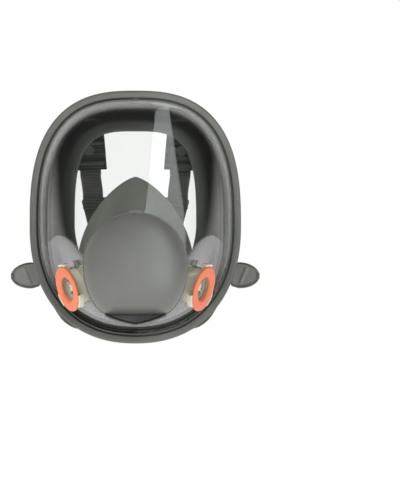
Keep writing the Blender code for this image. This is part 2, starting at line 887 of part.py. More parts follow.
def make_upper_straps(side, word):
    at, across, along, n = buckle_axes(side, True)
    low = 1.6 + GAP
    bar = at + along * 17.6 + n * (low + 1.2)
    spots = (
        bar + along * 1.3,
        bar + along * 8.0 + n * 3.0,
        np.array([42.0 * side, 50.0, CRADLE_TOP + 14.0]),
        np.array([41.2 * side, 60.0, CRADLE_TOP + 6.8]),
        np.array([41.0 * side, 65.2, CRADLE_TOP + 2.0]),
        np.array([41.0 * side, 67.2, CRADLE_TOP - 4.0]),
        np.array([41.0 * side, 68.6, CRADLE_TOP - 11.0]),
    )
    path = curve_through(spots, 12)
    strap = plate_along(
        f"upper_strap_{word}", path, (1, 0, 0), STRAP_WIDTH, STRAP_THICK, color=(0.05, 0.05, 0.05), origin=harness_pivot()
    )
    finish(strap)
    spots = (
        at + along * 10.4 + n * (low + 2.6),
        at + along * 12.0 + n * (low + 7.5),
        at + along * 18.0 + n * 15.5,
        at + along * 27.0 + n * 23.5,
    )
    path = curve_through(spots, 6)
    end = plate_along(
        f"upper_strap_end_{word}",
        path,
        (1, 0, 0),
        STRAP_WIDTH,
        STRAP_THICK,
        color=(0.05, 0.05, 0.05),
        origin=path[-1],
    )
    finish(end)


def lower_strap_path(side, steps=12):
    corner = CRADLE_HALF * 1.03 + 2.2
    low = CRADLE_TOP - CRADLE_LENGTH
    spots = ((corner, 82.5, low + 11), (corner + 5, 76, low + 13), (72, 60, -79), (80, 43, -67), (83.5, 29.5, -56.5))
    return curve_through([np.array(s) * (side, 1, 1) for s in spots], steps)


def make_lower_straps(side, word):
    path = lower_strap_path(side)
    strap = plate_along(
        f"lower_strap_{word}",
        path,
        (0, 0, 1),
        STRAP_WIDTH,
        STRAP_THICK,
        color=(0.05, 0.05, 0.05),
        origin=path[-1],
    )
    finish(strap)
    x = 90.5
    spots = ((x, 14.5, -54.5), (x + 8, 13.5, -54.8), (x + 17, 12.0, -55.2), (x + PADDLE_LENGTH, 10.0, -55.5))
    steps = 12
    path = curve_through([np.array(s) * (side, 1, 1) for s in spots], steps)
    widths = []
    for i in range(steps + 1):
        round_off = max(0.0, (i / steps - 0.3) / 0.7)
        widths.append(PADDLE_WIDTH * math.sqrt(max(0.08, 1.0 - round_off**2)) * min(1.0, 0.86 + 0.5 * i / steps))
    end = plate_along(
        f"lower_strap_end_{word}",
        path,
        (0, 0, 1),
        PADDLE_WIDTH,
        3.4,
        widths,
        color=(0.05, 0.05, 0.05),
        origin=path[0],
    )
    finish(end)


def main():
    clear_scene()
    make_frame()
    make_frame_screws()
    make_lens()
    make_seal()
    for side, word in ((-1, "left"), (1, "right")):
        make_port(side, word)
        make_cup_valve(side, word)
        for upper in (True, False):
            make_buckle(side, word, upper)
        make_upper_straps(side, word)
        make_lower_straps(side, word)
    make_nose_cup()
    make_adapter()
    make_exhalation_valve()
    make_cover()
    make_cradle()


main()
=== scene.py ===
"""Full face respirator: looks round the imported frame. Sizes are millimetres until they reach a mesh."""

import math

import bmesh
import bpy
import numpy as np
from mathutils import Matrix, Vector


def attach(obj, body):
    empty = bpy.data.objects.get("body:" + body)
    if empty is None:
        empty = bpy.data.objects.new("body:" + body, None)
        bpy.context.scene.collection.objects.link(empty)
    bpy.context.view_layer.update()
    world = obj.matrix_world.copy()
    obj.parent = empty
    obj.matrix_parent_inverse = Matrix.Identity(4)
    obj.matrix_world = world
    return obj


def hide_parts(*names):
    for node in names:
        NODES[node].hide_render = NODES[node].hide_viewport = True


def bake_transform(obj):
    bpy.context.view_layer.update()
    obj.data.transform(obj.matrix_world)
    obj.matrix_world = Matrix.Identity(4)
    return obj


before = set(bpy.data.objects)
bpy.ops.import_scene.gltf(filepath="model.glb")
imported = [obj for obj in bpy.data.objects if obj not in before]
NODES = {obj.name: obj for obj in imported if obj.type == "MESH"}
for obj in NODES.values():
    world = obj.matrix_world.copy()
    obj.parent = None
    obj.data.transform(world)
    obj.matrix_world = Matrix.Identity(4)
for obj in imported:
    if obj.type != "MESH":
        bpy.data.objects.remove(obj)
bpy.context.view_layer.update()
MM = 0.001
TAU = 2.0 * math.pi
SIDES = ((-1, "left"), (1, "right"))

# ---------------------------------------------------------------- sizes shared with the part
HALF_WIDTH = 98.0
UP_REACH = 122.5
DOWN_REACH = 106.5
WIDEST_Z = -8.0
UP_SQUARENESS = 2.7
DOWN_SQUARENESS = 2.25
SIDE_Y = -5.0
TOP_FORWARD = 40.0
CHIN_FORWARD = 45.0
BAND = 9.0
FRAME_FRONT = -6.0
FRAME_BACK = 8.0
LIP = 2.0
WEB = 2.5
GAP = 0.35
LENS_WALL = 2.2
HOLE_RADIUS = 40.0
HOLE_Y = -88.0
CENTER_Z = -43.0
LENS_FULLNESS = 1.75
BARREL_RADIUS = 39.2
BARREL_BORE = 30.0
PORT_RADIUS = 17.5
PORT_CLEAR = 5.3
PORT_Y = -66.0
PORT_Z = -65.0
PORT_AXIS = (0.86, -0.44, -0.26)
PORT_BORE = 14.0
PORT_BACK = 10.0
GASKET_LAND = 3.2
GASKET_BORE = 10.5
LUG_REACH = 5.7
COVER_HALF_WIDTH = 45.5  # 2 mm past the part's, as the photograph shows it
COVER_UP = 46.5
COVER_DOWN = 54.5
COVER_CUT = 44.0
COVER_BACK_Y = -99.0
COVER_DEPTH = 23.0
COVER_WALL = 2.0
SLOT_HALF = 23.0
MOUTH_HALF = 28.0
CUP_HALF_WIDTH = 54.5
CUP_UP = 87.0
CUP_DOWN = 32.0
CUP_Z = -50.0
CUP_WALL = 2.0
OPEN_HALF_WIDTH = 57.0
OPEN_UP = 87.0
OPEN_DOWN = 79.0
SEAL_WALL = 2.6
SEAL_DEPTH = 18.0
PAD_WIDTH = 32.0
PAD_X = 43.0
PAD_ANGLE = math.radians(63.0)
STRAP_WIDTH = 19.5
STRAP_THICK = 2.6
CRADLE_HALF = 52.0
CRADLE_TOP = 19.0
CRADLE_LENGTH = 126.0
PADDLE_LENGTH = 26.0
PADDLE_WIDTH = 24.5

# ---------------------------------------------------------------- sizes of the looks alone
SPLIT = 0.02  # degrees between each frame half and the split
GROOVE_START = 6.3  # the groove round the frame's front face, measured in from its outer edge
GROOVE_STOP = 8.1
GROOVE_DEPTH = 1.4
SIDE_LUG_HALF = 4.0
SIDE_LUG_TOP = 6.5
SIDE_LUG_GAP = 0.43
SIDE_LUG_BORE = 1.95
LENS_LEDGE = -1.5
# painted light: the visor's edge is given a pale haze for the light it catches and scatters
PAINTED_EDGE_GLOW = 0.4  # share of the light that the visor's edge scatters, at its most
SEAL_LIP = 1.6
PAD_THICK = 3.2
TAB_WIDTH = 22.0
COLLAR_FRONT = -2.4
LUG_SWEEP = 16.0  # degrees to each side of a bayonet lug's middle
ADAPTER_RIM = 1.2
LIP_DROP = 8.6  # how far the lip under the mouth hangs and stands forward
LIP_FORWARD = 12.0
STRAP_CORNER = 0.8
STRAP_SHOULDER = 1.6
STRAP_LAND = 2.2
RIB = 0.65
RIB_PITCH = 3.2
CRADLE_BOW = 7.0
ANCHOR_IN = 12.0  # from the cradle's edge to the middle of a strap anchor
PADDLE_ROOT = 90.5
PADDLE_THICK = 1.7
PADDLE_DISH = 1.1
PADDLE_FOLD = 0.5
PADDLE_RIM = 1.9
SCUFF = 0.15  # how far the gloss of a moulding drifts, as a share of its roughness


# ---------------------------------------------------------------- small geometry
def unit(v):
    v = np.asarray(v, float)
    return v / np.linalg.norm(v)


def basis_for(axis):
    w = unit(axis)
    t = np.array([0.0, 0.0, 1.0])
    if abs(np.dot(w, t)) > 0.95:
        t = np.array([0.0, 1.0, 0.0])
    v = unit(t - w * np.dot(t, w))
    return np.cross(v, w), v, w


def smooth(a, b, x):
    t = min(1.0, max(0.0, (x - a) / (b - a)))
    return t * t * (3 - 2 * t)


def curve_through(points, steps):
    p = [np.asarray(q, float) for q in points]
    p = [2 * p[0] - p[1]] + p + [2 * p[-1] - p[-2]]
    spans = len(p) - 3
    out = []
    for k in range(steps + 1):
        s = k * spans / steps
        i = min(int(s), spans - 1)
        t = s - i
        a, b, c, d = p[i : i + 4]
        square = (2 * a - 5 * b + 4 * c - d) * t * t
        cube = (3 * b - a - 3 * c + d) * t**3
        out.append(0.5 * (2 * b + (c - a) * t + square + cube))
    return out


def mesh_object(name, points, faces, smooth_angle=40.0):
    mesh = bpy.data.meshes.new(name)
    mesh.from_pydata([tuple(np.asarray(p, float) * MM) for p in points], [], [tuple(f) for f in faces])
    work = bmesh.new()
    work.from_mesh(mesh)
    bmesh.ops.recalc_face_normals(work, faces=work.faces[:])
    work.to_mesh(mesh)
    work.free()
    for polygon in mesh.polygons:
        polygon.use_smooth = True
    mesh.set_sharp_from_angle(angle=math.radians(smooth_angle))
    made = bpy.data.objects.new(name, mesh)
    bpy.context.scene.collection.objects.link(made)
    return made


def mark(made, attribute, values):
    """Stores one number per point, for a material to read."""
    marks = made.data.attributes.new(attribute, "FLOAT", "POINT")
    marks.data.foreach_set("value", np.array(values, np.float32))


def loft_faces(rings, count, closed):
    faces = []
    for i in range(rings if closed else rings - 1):
        a = i * count
        b = ((i + 1) % rings) * count
        for j in range(count):
            k = (j + 1) % count
            faces.append((a + j, a + k, b + k, b + j))
    if not closed:
        faces.append(tuple(range(count))[::-1])
        faces.append(tuple(range((rings - 1) * count, rings * count)))
    return faces


def loft(name, rings, closed=False, smooth_angle=40.0):
    points = [p for ring in rings for p in ring]
    return mesh_object(name, points, loft_faces(len(rings), len(rings[0]), closed), smooth_angle)


def turned(name, profile, at, axis):
    """A closed profile of (radius, height) turned about an axis."""
    u, v, w = basis_for(axis)
    at = np.asarray(at, float)
    steps = 96
    rings = []
    for i in range(steps):
        a = TAU * i / steps
        out = u * math.cos(a) + v * math.sin(a)
        rings.append([at + out * r + w * h for r, h in profile])
    return loft(name, rings, True)


def stacked(name, profile, at, axis, steps=64):
    """Circles of (radius, height) along an axis, closed at both ends."""
    u, v, w = basis_for(axis)
    at = np.asarray(at, float)
    turns = [TAU * i / steps for i in range(steps)]
    spokes = [u * math.cos(a) + v * math.sin(a) for a in turns]
    return loft(name, [[at + out * r + w * h for out in spokes] for r, h in profile])


def rounded(profile, radius, steps=4):
    """A closed profile with its corners rounded."""
    out = []
    n = len(profile)
    for i in range(n):
        p = np.asarray(profile[i], float)
        a = np.asarray(profile[i - 1], float)
        b = np.asarray(profile[(i + 1) % n], float)
        la, lb = np.linalg.norm(a - p), np.linalg.norm(b - p)
        r = min(radius, la * 0.45, lb * 0.45)
        start, end = p + (a - p) / la * r, p + (b - p) / lb * r
        for k in range(steps + 1):
            t = k / steps
            out.append(tuple((1 - t) ** 2 * start + 2 * t * (1 - t) * p + t * t * end))
    return out


def boolean(target, tool, operation):
    bpy.context.view_layer.update()
    change = target.modifiers.new("change", "BOOLEAN")
    change.operation = operation
    change.solver = "EXACT"
    change.object = tool
    graph = bpy.context.evaluated_depsgraph_get()
    mesh = bpy.data.meshes.new_from_object(target.evaluated_get(graph))
    target.modifiers.clear()
    target.data = mesh
    bpy.data.objects.remove(tool)
    for polygon in mesh.polygons:
        polygon.use_smooth = True
    mesh.set_sharp_from_angle(angle=math.radians(35))
    return target


def box(name, low, high, at=(0, 0, 0), axes=None):
    u, v, w = axes if axes is not None else np.eye(3)
    at = np.asarray(at, float)
    rings = []
    for h in (low[2], high[2]):
        corners = ((low[0], low[1]), (high[0], low[1]), (high[0], high[1]), (low[0], high[1]))
        rings.append([at + u * a + v * b + w * h for a, b in corners])
    return loft(name, rings)


# ---------------------------------------------------------------- outline and surfaces, as in the part
def outline(phi):
    c, s = math.cos(phi), math.sin(phi)
    reach = UP_REACH if s >= 0 else DOWN_REACH
    n = UP_SQUARENESS if s >= 0 else DOWN_SQUARENESS
    r = (abs(c / HALF_WIDTH) ** n + abs(s / reach) ** n) ** (-1.0 / n)
    return np.array([r * c, WIDEST_Z + r * s])


def outline_normal(phi):
    d = 0.01
    t = outline(phi + d) - outline(phi - d)
    return unit(np.array([t[1], -t[0]]))


def rim_y(phi):
    x, z = outline(phi)
    forward = TOP_FORWARD if z >= WIDEST_Z else CHIN_FORWARD
    return SIDE_Y - forward * (1.0 - (x / HALF_WIDTH) ** 2)


def at_rim(phi, inset, back):
    x, z = outline(phi) - outline_normal(phi) * inset
    return np.array([x, rim_y(phi) + back, z])


def port_frame(side):
    at = np.array([side * (BARREL_RADIUS + PORT_CLEAR + PORT_RADIUS), PORT_Y, PORT_Z])
    return at, unit(np.array(PORT_AXIS) * (side, 1, 1))


def soft_over(s, width):
    return 0.5 * (s + math.sqrt(s * s + width * width))


def lens_point(phi, v):
    start = at_rim(phi, BAND + 0.5, -3.7)
    hole = np.array([math.cos(phi), math.sin(phi)]) * HOLE_RADIUS
    end = np.array([hole[0], HOLE_Y, CENTER_Z + hole[1]])
    g = 1.0 - (1.0 - v) ** LENS_FULLNESS
    p = start + (end - start) * v
    p[1] = start[1] + (end[1] - start[1]) * g
    for side, _ in SIDES:
        at, axis = port_frame(side)
        over = np.dot(p - at, axis) + PORT_BACK
        fade = min(1.0, v * 3.0) * min(1.0, (1.0 - v) * 6.0)
        p = p - axis * soft_over(over, 3.0) * fade
    return p


def opening(phi):
    c, s = math.cos(phi), math.sin(phi)
    reach = OPEN_UP if s >= 0 else OPEN_DOWN
    n = 3.4 if s >= 0 else 1.75
    r = (abs(c / OPEN_HALF_WIDTH) ** n + abs(s / reach) ** n) ** (-1.0 / n)
    return np.array([r * c, WIDEST_Z + r * s])


def seal_point(phi, v):
    start = at_rim(phi, BAND + 0.4, 2.0)
    edge = opening(phi)
    lip_y = SEAL_DEPTH - 5.0 + 0.75 * (rim_y(phi) - SIDE_Y)
    end = np.array([edge[0], lip_y, edge[1]])
    p = start + (end - start) * v**1.25
    h = 1.0 - (1.0 - v) ** 2.2
    p[1] = start[1] + (end[1] - start[1]) * h
    return p


def grid_normal(function, phi, v, toward):
    d = 0.01
    va, vb = max(0.0, v - d), min(1.0, v + d)
    dv = function(phi, vb) - function(phi, va)
    dp = function(phi + d, v) - function(phi - d, v)
    n = unit(np.cross(dv, dp))
    return n if np.dot(n, toward) > 0 else -n


def cup_lip(alpha):
    c, s = math.cos(alpha), math.sin(alpha)
    reach = CUP_UP if s >= 0 else CUP_DOWN
    power = 1.45 if s >= 0 else 0.9
    x = CUP_HALF_WIDTH * math.copysign(abs(c) ** power, c)
    z = CUP_Z + reach * s
    y = -8.0 - 20.0 * max(0.0, s) ** 1.5 - 16.0 * max(0.0, -s)
    return np.array([x, y, z])


def cup_point(alpha, v):
    r = BARREL_BORE + 3.5
    start = np.array([r * math.cos(alpha), -71.8, CENTER_Z + r * math.sin(alpha)])
    end = cup_lip(alpha)
    p = start + (end - start) * (v**1.15)
    p[1] = start[1] + (end[1] - start[1]) * (v**1.35)
    return p


def cover_radius(psi):
    c, s = math.cos(psi), math.sin(psi)
    reach = COVER_UP if s >= 0 else COVER_DOWN
    r = 1.0 / math.hypot(c / COVER_HALF_WIDTH, s / reach)
    if s < 0:  # the flat lower edge, its corners rounded
        r = (r**-16 + (COVER_CUT / -s) ** -16) ** (-1 / 16)
    return r


def cover_point(psi, t, inset=0.0):
    r = max(0.0, cover_radius(psi) - inset) * t
    y = COVER_BACK_Y - (COVER_DEPTH - inset) * (1.0 - t**2.6) ** 0.62
    return np.array([r * math.cos(psi), y, CENTER_Z + r * math.sin(psi)])


def pad_path(side, steps=8):
    root = seal_point(PAD_ANGLE, 0.3) + np.array([0.0, -1.0, 0.0])
    root[0] = PAD_X + 3.0
    drops = ((0, 0, 0), (0, 19, 5), (-1, 36, -3), (-2, 46, -21), (-3, 50, -45))
    return curve_through([(root + d) * (side, 1, 1) for d in drops], steps)


def tab_path(side, steps=4):
    spots = ((57, 6.5, -45), (66, 10, -48), (74, 12, -51), (82, 12.5, -53))
    return curve_through([np.array(s) * (side, 1, 1) for s in spots], steps)


def buckle_axes(side, upper):
    path = pad_path(side, 16) if upper else tab_path(side, 16)
    k = 13 if upper else 9
    p = path[k]
    along = unit(path[k + 1] - path[k - 1])
    wide = np.array([1.0, 0, 0]) if upper else np.array([0.0, 0, 1.0])
    n = unit(np.cross(wide, along))
    n = n if n[1] > 0 else -n
    return p, np.cross(along, n), along, n


# ---------------------------------------------------------------- materials
def new_material(name):
    made = bpy.data.materials.new(name)
    made.use_nodes = True
    tree = made.node_tree
    return made, tree, tree.nodes["Principled BSDF"]


def node(tree, kind, **values):
    made = tree.nodes.new(kind)
    for key, value in values.items():
        if hasattr(made, key):
            setattr(made, key, value)
        else:
            made.inputs[key].default_value = value
    return made


def ramp(tree, source, stops):
    made = tree.nodes.new("ShaderNodeValToRGB")
    elements = made.color_ramp.elements
    while len(elements) < len(stops):
        elements.new(0.5)
    for element, (at, color) in zip(elements, stops):
        element.position = at
        element.color = (*color, 1.0)
    tree.links.new(source, made.inputs["Fac"])
    return made


def moulded(name, color, rough=0.5, vary=0.12, grain=900.0, bump=0.12, spec=0.5, sheen=0.0):
    """Moulded plastic or rubber: fine grain, slow colour drift, smudges in the gloss."""
    made, tree, shader = new_material(name)
    place = node(tree, "ShaderNodeTexCoord")
    drift = node(tree, "ShaderNodeTexNoise", **{"Scale": 22.0, "Detail": 3.0, "Roughness": 0.55})
    tree.links.new(place.outputs["Object"], drift.inputs["Vector"])
    dark = tuple(c * (1 - vary) for c in color)
    light = tuple(c * (1 + vary) for c in color)
    tint = ramp(tree, drift.outputs["Fac"], ((0.3, dark), (0.7, light)))
    tree.links.new(tint.outputs["Color"], shader.inputs["Base Color"])
    smudge = node(tree, "ShaderNodeTexNoise", **{"Scale": 60.0, "Detail": 4.0, "Roughness": 0.6})
    tree.links.new(place.outputs["Object"], smudge.inputs["Vector"])
    gloss = node(tree, "ShaderNodeMapRange", **{"From Min": 0.3, "From Max": 0.7})
    gloss.inputs["To Min"].default_value = max(0.02, rough * (1 - SCUFF))
    gloss.inputs["To Max"].default_value = min(1.0, rough * (1 + SCUFF))
    tree.links.new(smudge.outputs["Fac"], gloss.inputs["Value"])
    tree.links.new(gloss.outputs["Result"], shader.inputs["Roughness"])
    fine = node(tree, "ShaderNodeTexNoise", **{"Scale": grain, "Detail": 2.0, "Roughness": 0.5})
    tree.links.new(place.outputs["Object"], fine.inputs["Vector"])
    relief = node(tree, "ShaderNodeBump", **{"Strength": bump, "Distance": 0.0002})
    tree.links.new(fine.outputs["Fac"], relief.inputs["Height"])
    tree.links.new(relief.outputs["Normal"], shader.inputs["Normal"])
    shader.inputs["Specular IOR Level"].default_value = spec
    shader.inputs["Sheen Weight"].default_value = sheen
    return made


def shaded_by(made, attribute, stops):
    """Colour that follows a value stored on the mesh."""
    tree = made.node_tree
    value = node(tree, "ShaderNodeAttribute", attribute_name=attribute)
    tint = ramp(tree, value.outputs["Fac"], stops)
    tree.links.new(tint.outputs["Color"], tree.nodes["Principled BSDF"].inputs["Base Color"])


def darkened_by(made, attribute, color):
    """Colour that turns to another where a value stored on the mesh is high."""
    tree = made.node_tree
    shader = tree.nodes["Principled BSDF"]
    value = node(tree, "ShaderNodeAttribute", attribute_name=attribute)
    blend = node(tree, "ShaderNodeMix", data_type="RGBA")
    blend.inputs["B"].default_value = (*color, 1.0)
    tree.links.new(value.outputs["Fac"], blend.inputs["Factor"])
    tree.links.new(shader.inputs["Base Color"].links[0].from_socket, blend.inputs["A"])
    tree.links.new(blend.outputs["Result"], shader.inputs["Base Color"])


def metal(name, color, rough):
    made, tree, shader = new_material(name)
    place = node(tree, "ShaderNodeTexCoord")
    scale = node(tree, "ShaderNodeMapping")
    scale.inputs["Scale"].default_value = (1.0, 1.0, 14.0)
    tree.links.new(place.outputs["Object"], scale.inputs["Vector"])
    brushed = node(tree, "ShaderNodeTexNoise", **{"Scale": 260.0, "Detail": 4.0})
    tree.links.new(scale.outputs["Vector"], brushed.inputs["Vector"])
    tint = ramp(tree, brushed.outputs["Fac"], ((0.3, tuple(c * 0.86 for c in color)), (0.7, color)))
    tree.links.new(tint.outputs["Color"], shader.inputs["Base Color"])
    gloss = node(tree, "ShaderNodeMapRange")
    gloss.inputs["To Min"].default_value = rough * 0.75
    gloss.inputs["To Max"].default_value = rough * 1.3
    tree.links.new(brushed.outputs["Fac"], gloss.inputs["Value"])
    tree.links.new(gloss.outputs["Result"], shader.inputs["Roughness"])
    shader.inputs["Metallic"].default_value = 1.0
    return made


def clear(name, tint, rough, low, high, haze=0.0, haze_color=(0.8, 0.8, 0.78), falloff=3.5):
    """A thin clear wall: see-through straight on, mirroring towards its edges."""
    made = bpy.data.materials.new(name)
    made.use_nodes = True
    tree = made.node_tree
    tree.nodes.clear()
    out = node(tree, "ShaderNodeOutputMaterial")
    through = node(tree, "ShaderNodeBsdfTransparent")
    through.inputs["Color"].default_value = (*tint, 1.0)
    shine = node(tree, "ShaderNodeBsdfPrincipled")
    shine.inputs["Base Color"].default_value = (*haze_color, 1.0)
    place = node(tree, "ShaderNodeTexCoord")
    film = node(tree, "ShaderNodeTexNoise", **{"Scale": 30.0, "Detail": 3.0})
    tree.links.new(place.outputs["Object"], film.inputs["Vector"])
    gloss = node(tree, "ShaderNodeMapRange")
    gloss.inputs["To Min"].default_value = rough * 0.6
    gloss.inputs["To Max"].default_value = rough * 1.6
    tree.links.new(film.outputs["Fac"], gloss.inputs["Value"])
    mirror = node(tree, "ShaderNodeBsdfGlossy")
    tree.links.new(gloss.outputs["Result"], mirror.inputs["Roughness"])
    tree.links.new(gloss.outputs["Result"], shine.inputs["Roughness"])
    facing = node(tree, "ShaderNodeLayerWeight", **{"Blend": 0.5})
    steep = node(tree, "ShaderNodeMath", operation="POWER")
    steep.inputs[1].default_value = falloff
    tree.links.new(facing.outputs["Facing"], steep.inputs[0])
    share = node(tree, "ShaderNodeMapRange")
    share.inputs["To Min"].default_value = low
    share.inputs["To Max"].default_value = high
    tree.links.new(steep.outputs["Value"], share.inputs["Value"])
    body = node(tree, "ShaderNodeMixShader", name="haze")
    body.inputs["Fac"].default_value = haze
    tree.links.new(through.outputs["BSDF"], body.inputs[1])
    tree.links.new(shine.outputs["BSDF"], body.inputs[2])
    mix = node(tree, "ShaderNodeMixShader")
    tree.links.new(share.outputs["Result"], mix.inputs["Fac"])
    tree.links.new(body.outputs["Shader"], mix.inputs[1])
    tree.links.new(mirror.outputs["BSDF"], mix.inputs[2])
    tree.links.new(mix.outputs["Shader"], out.inputs["Surface"])
    return made


def glow_painted_by(made, attribute):
    """Pale haze that follows a value stored on the mesh: painted light, standing in for the light that
    pipes along a clear wall to its edge.
    """
    tree = made.node_tree
    value = node(tree, "ShaderNodeAttribute", attribute_name=attribute)
    tree.links.new(value.outputs["Fac"], tree.nodes["haze"].inputs["Fac"])


FRAME_GREY = moulded("frame_grey", (0.08, 0.082, 0.072), 0.48, bump=0.2, grain=1400.0)
COVER_GREY = moulded("cover_grey", (0.1, 0.102, 0.091), 0.42, bump=0.12, grain=1600.0, vary=0.06)
ADAPTER_GREY = moulded("adapter_grey", (0.07, 0.071, 0.064), 0.4, bump=0.15)
SEAL_BLACK = moulded("seal_rubber", (0.024, 0.025, 0.022), 0.46, bump=0.025, grain=1400.0, spec=0.25)
CUP_GREY = moulded("nose_cup_rubber", (0.118, 0.119, 0.106), 0.5, bump=0.02, grain=1400.0, sheen=0.05)
STRAP_BLACK = moulded("strap_rubber", (0.036, 0.037, 0.033), 0.55, bump=0.2, grain=900.0, spec=0.35)
# near-black plastic of the buckles and studs, also put in the adapter's hollow as painted shade
BLACK_PLASTIC_AND_PAINTED_SHADE = moulded("buckle_plastic", (0.03, 0.03, 0.028), 0.4, bump=0.12)
ORANGE = moulded("gasket_orange", (0.6, 0.13, 0.04), 0.42, vary=0.07, bump=0.08, grain=700.0)
AMBER = moulded("spider_amber", (0.55, 0.27, 0.06), 0.35, vary=0.08, bump=0.05)
# the pull tab is one moulding: a painted shaded copy for its rim and a painted lit copy for its face
TAB_RIM_PAINTED_SHADE = moulded("tab_rim_painted_shade", (0.05, 0.051, 0.046), 0.45)
TAB_FACE_PAINTED_LIGHT = moulded("tab_face_painted_light", (0.13, 0.132, 0.118), 0.4, bump=0.08, vary=0.06)
FLAP = moulded("flap_silicone", (0.6, 0.52, 0.25), 0.4, vary=0.08, bump=0.05)
STEEL = metal("satin_steel", (0.62, 0.62, 0.63), 0.32)
LENS_CLEAR = clear("lens_clear", (0.975, 0.985, 0.975), 0.015, 0.035, 1.0, falloff=3.0)
PORT_TINT = (0.93, 0.92, 0.84)
PORT_CREAM = (0.72, 0.7, 0.56)
SEAT_CREAM = (0.66, 0.64, 0.54)
PORT_CLEAR_PLASTIC = clear("port_clear", PORT_TINT, 0.06, 0.06, 0.9, haze=0.62, haze_color=PORT_CREAM)
SEAT_CLEAR = clear("seat_clear", PORT_TINT, 0.08, 0.06, 0.9, haze=0.6, haze_color=SEAT_CREAM)


# painted shade and light: the seal's rubber is coloured near black in its deep trough, where shade falls,
# and lighter towards its lip, which catches the light
SEAL_PAINTED_SHADE = (
    (0.0, (0.036, 0.037, 0.033)),
    (0.16, (0.03, 0.031, 0.028)),
    (0.4, (0.004, 0.004, 0.004)),
    (0.64, (0.004, 0.004, 0.004)),
    (0.8, (0.03, 0.031, 0.028)),
    (1.0, (0.062, 0.063, 0.057)),
)
shaded_by(SEAL_BLACK, "painted_shade_share", SEAL_PAINTED_SHADE)
# painted shade: the frame turns near black in its groove, standing in for the shade there
darkened_by(FRAME_GREY, "groove", (0.012, 0.012, 0.011))
glow_painted_by(LENS_CLEAR, "painted_edge_glow")


def dress(made, material, body=None, nodes=()):
    made.data.materials.clear()
    made.data.materials.append(material)
    if body:
        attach(made, body)
    if nodes:
        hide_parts(*nodes)
    return made


# ---------------------------------------------------------------- frame
def make_frame():
    section = (
        (0.0, FRAME_BACK),
        (0.0, FRAME_FRONT + 0.6),
        (1.6, FRAME_FRONT - 0.8),
        (GROOVE_START, FRAME_FRONT),
        (6.6, FRAME_FRONT + GROOVE_DEPTH),
        (7.8, FRAME_FRONT + GROOVE_DEPTH),
        (GROOVE_STOP, FRAME_FRONT + 0.2),
        (9.2, FRAME_FRONT + 0.4),
        (9.2, FRAME_FRONT + LIP),
        (WEB, FRAME_FRONT + LIP),
        (WEB, FRAME_BACK - LIP),
        (BAND - 1.5, FRAME_BACK - LIP),
        (BAND - 1.5, FRAME_BACK),
    )
    section = rounded(section, 0.9, 3)
    # painted shade: points down in the groove are marked, and the frame is coloured near black there for
    # the shade that falls in the groove
    sunk = []
    for inset, back in section:
        in_groove = GROOVE_START - 0.1 < inset < GROOVE_STOP + 0.1
        sunk.append(float(in_groove and FRAME_FRONT + 0.35 < back < 0.0))
    steps = 110
    for name, first in (("lens_frame_upper", 0.0), ("lens_frame_lower", 180.0)):
        start, stop = first + SPLIT, first + 180.0 - SPLIT
        rings = []
        for i in range(steps + 1):
            phi = math.radians(start + (stop - start) * i / steps)
            rings.append([at_rim(phi, a, b) for a, b in section])
        half = loft(name + "_shell", rings)
        mark(half, "groove", sunk * (steps + 1))
        up = 1 if start < 90 else -1
        for side, _ in SIDES:
            x = side * (HALF_WIDTH - SIDE_LUG_HALF)
            y = SIDE_Y + FRAME_BACK - 1.0
            near, far = WIDEST_Z + up * SIDE_LUG_GAP, WIDEST_Z + up * SIDE_LUG_TOP
            low = (x - SIDE_LUG_HALF, y, min(near, far))
            high = (x + SIDE_LUG_HALF, y + 9.0, max(near, far))
            boolean(half, box("tool", low, high), "UNION")
            at = np.array([x, SIDE_Y + FRAME_BACK + 4.2, WIDEST_Z])
            bore = stacked("tool", ((SIDE_LUG_BORE, -9), (SIDE_LUG_BORE, 9)), at, (0, 0, 1), 32)
            boolean(half, bore, "DIFFERENCE")
        if up > 0:  # a pin in the groove at the crown
            at = at_rim(math.radians(90), 7.5, FRAME_FRONT + 0.6)
            pin = stacked("tool", ((0.9, -1.2), (0.9, 0.6), (0.5, 1.0)), at, (0, -1, 0), 20)
        else:  # a moulding mark on the chin
            at = at_rim(math.radians(270), 4.2, FRAME_FRONT)
            pin = box("tool", (-0.45, -1.1, -1.0), (0.45, 1.0, 1.8), at)
        boolean(half, pin, "UNION")
        dress(half, FRAME_GREY, "mask", (name,))


# ---------------------------------------------------------------- lens
def make_lens():
    stops = [i / 30 for i in range(31)]
    rings = []
    haze = []
    steps = 180
    for i in range(steps):
        phi = TAU * i / steps
        toward = (-math.cos(phi) * 0.2, 1, -math.sin(phi) * 0.2)
        outer = [lens_point(phi, v) for v in stops]
        normals = [grid_normal(lens_point, phi, v, toward) for v in stops]
        inner = [p + n * LENS_WALL for p, n in zip(outer, normals)]
        flange = [
            at_rim(phi, BAND + 2.2, LENS_LEDGE),
            at_rim(phi, WEB + GAP, LENS_LEDGE),
            at_rim(phi, WEB + GAP, FRAME_FRONT + LIP + GAP),
        ]
        rings.append(outer + inner[:0:-1] + flange)
        # painted light: a pale haze along the visor's edge stands in for the light the edge catches; it is
        # strongest at the sides, half as strong at the crown and gone at the chin
        s = math.sin(phi)
        most = PAINTED_EDGE_GLOW * smooth(-0.75, -0.15, s) * (1.0 - 0.5 * smooth(0.6, 1.0, s))
        from_edge = [math.dist(p[::2], outer[0][::2]) for p in outer]
        along = [most * (1.0 - smooth(1.0, 7.5, d)) for d in from_edge]
        haze += along + along[:0:-1] + [most] * len(flange)
    lens = loft("lens_shell", rings, True)
    mark(lens, "painted_edge_glow", haze)
    for side, _ in SIDES:
        at, axis = port_frame(side)
        cut = stacked("tool", ((PORT_RADIUS + GAP, -34), (PORT_RADIUS + GAP, 20)), at, axis, 64)
        boolean(lens, cut, "DIFFERENCE")
    dress(lens, LENS_CLEAR, "mask", ("lens",))


